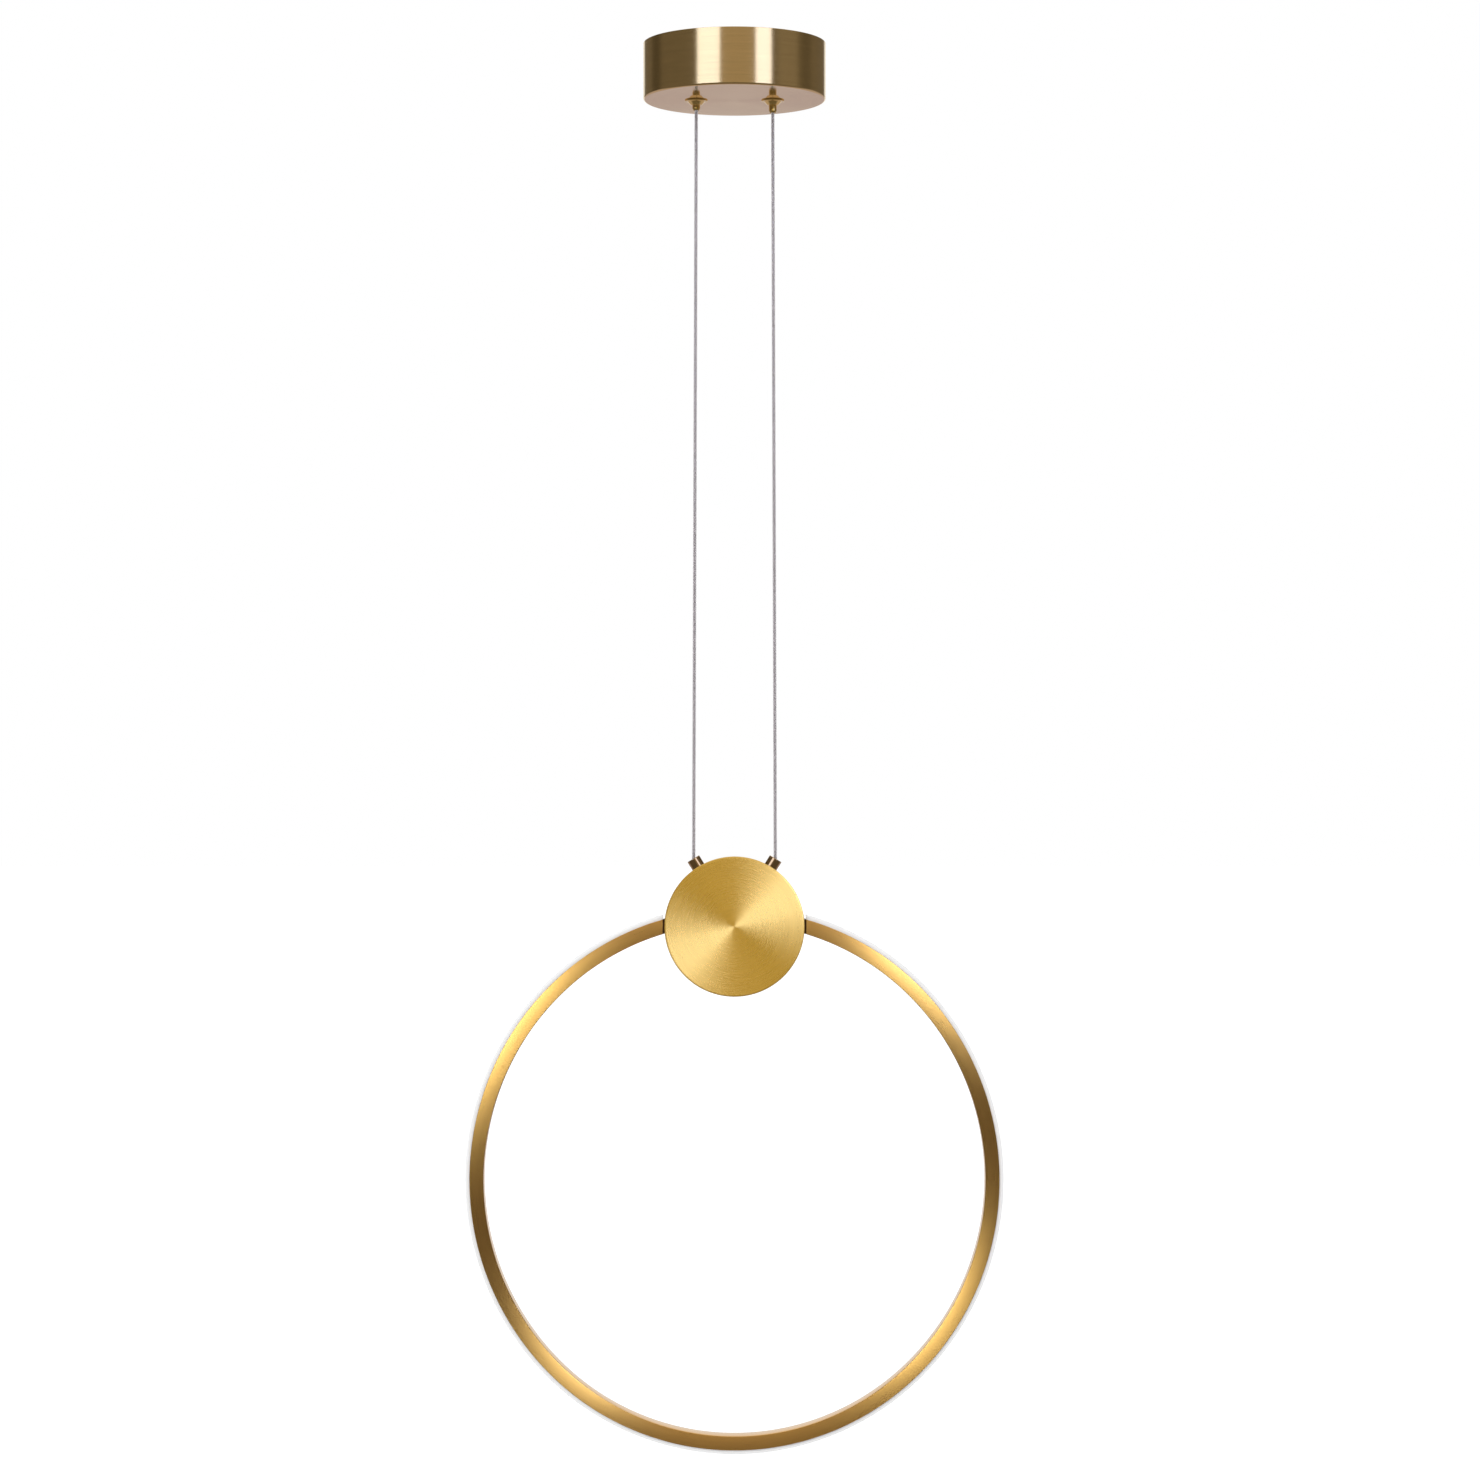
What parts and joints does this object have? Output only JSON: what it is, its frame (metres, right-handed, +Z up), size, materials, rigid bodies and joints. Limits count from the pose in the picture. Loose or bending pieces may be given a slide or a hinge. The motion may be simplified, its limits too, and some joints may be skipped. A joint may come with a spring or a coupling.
{
  "type": "pendant light",
  "caption": "Ring LED pendant: a shallow round brass canopy, two clear powered cables in push-release grippers, and a tall oval ring on a round brass hub.",
  "frame": {"origin": "on the ceiling, at the middle of the ceiling bracket and of the canopy's open top", "axes": "+Z up into the ceiling; the front of the disc and the ring faces -Y; +X to the right as seen from the front"},
  "size_m": [0.4006, 0.136, 1.0497],
  "materials": {
    "polished_brass": "polished",
    "satin_brass": "brushed",
    "bright_brass": "polished",
    "dark_bronze": "satin",
    "steel": "satin",
    "white_plastic": "matt",
    "black_foam": "matt",
    "circuit_board": "satin",
    "transformer_tape": "gloss",
    "capacitor_sleeve": "gloss",
    "lead_insulation": "gloss",
    "clear_jacket": "clear",
    "conductor": "tinned",
    "led": "gloss",
    "opal_diffuser": "opal"
  },
  "bodies": {
    "canopy": {"canopy_shell": "polished_brass", "ceiling_bracket": "steel", "side_screws": "polished_brass", "earth_screw": "bright_brass", "driver_pad": "black_foam", "driver_case": "white_plastic", "driver_board": "circuit_board", "driver_transformer": "transformer_tape", "driver_capacitors": "capacitor_sleeve", "driver_lid": "white_plastic", "terminal_block": "white_plastic", "terminal_screws": "steel", "mains_leads": "lead_insulation", "output_leads": "lead_insulation", "output_connectors": "clear_jacket", "gripper_left": "bright_brass", "gripper_right": "bright_brass", "gripper_washers": "steel", "gripper_nuts": "steel", "gripper_caps": "bright_brass", "release_spring_left": "steel", "release_spring_right": "steel", "canopy_tail_left": "clear_jacket", "canopy_tail_right": "clear_jacket"},
    "release_left": {"release_plunger_left": "bright_brass", "clamp_balls_left": "steel"},
    "release_right": {"release_plunger_right": "bright_brass", "clamp_balls_right": "steel"},
    "cables": {"cable_jacket_left": "clear_jacket", "cable_jacket_right": "clear_jacket", "cable_core_left": "conductor", "cable_core_right": "conductor"},
    "lamp": {"ferrule_left": "polished_brass", "ferrule_right": "polished_brass", "ferrule_nuts": "steel", "cable_stops": "bright_brass", "stop_screws": "steel", "lamp_tail_left": "clear_jacket", "lamp_tail_right": "clear_jacket", "disc_front": "satin_brass", "hub_housing": "satin_brass", "disc_screws": "polished_brass", "link_board": "circuit_board", "board_screws": "steel", "board_terminals": "white_plastic", "strip_leads": "lead_insulation", "ring_end_left": "dark_bronze", "ring_end_right": "dark_bronze", "end_screws": "steel", "ring_channel": "satin_brass", "led_strip": "white_plastic", "led_chips": "led", "diffuser": "opal_diffuser"}
  },
  "joints": [
    {"name": "swing", "type": "hinge", "parent": "canopy", "child": "cables", "pos_m": [0, 0, -0.0499], "axis": [1, 0, 0], "range_deg": [-20, 20]},
    {"name": "height", "type": "slide", "parent": "cables", "child": "lamp", "axis": [0, 0, 1], "range_m": [0, 0.35], "deforming": ["cable_jacket_left", "cable_jacket_right", "cable_core_left", "cable_core_right"]},
    {"name": "press_left", "type": "slide", "parent": "canopy", "child": "release_left", "axis": [0, 0, 1], "range_m": [0, 0.0025], "stiffness_N_per_m": 800, "springref_m": -0.003, "deforming": ["release_spring_left"]},
    {"name": "press_right", "type": "slide", "parent": "canopy", "child": "release_right", "axis": [0, 0, 1], "range_m": [0, 0.0025], "stiffness_N_per_m": 800, "springref_m": -0.003, "deforming": ["release_spring_right"]}
  ]
}
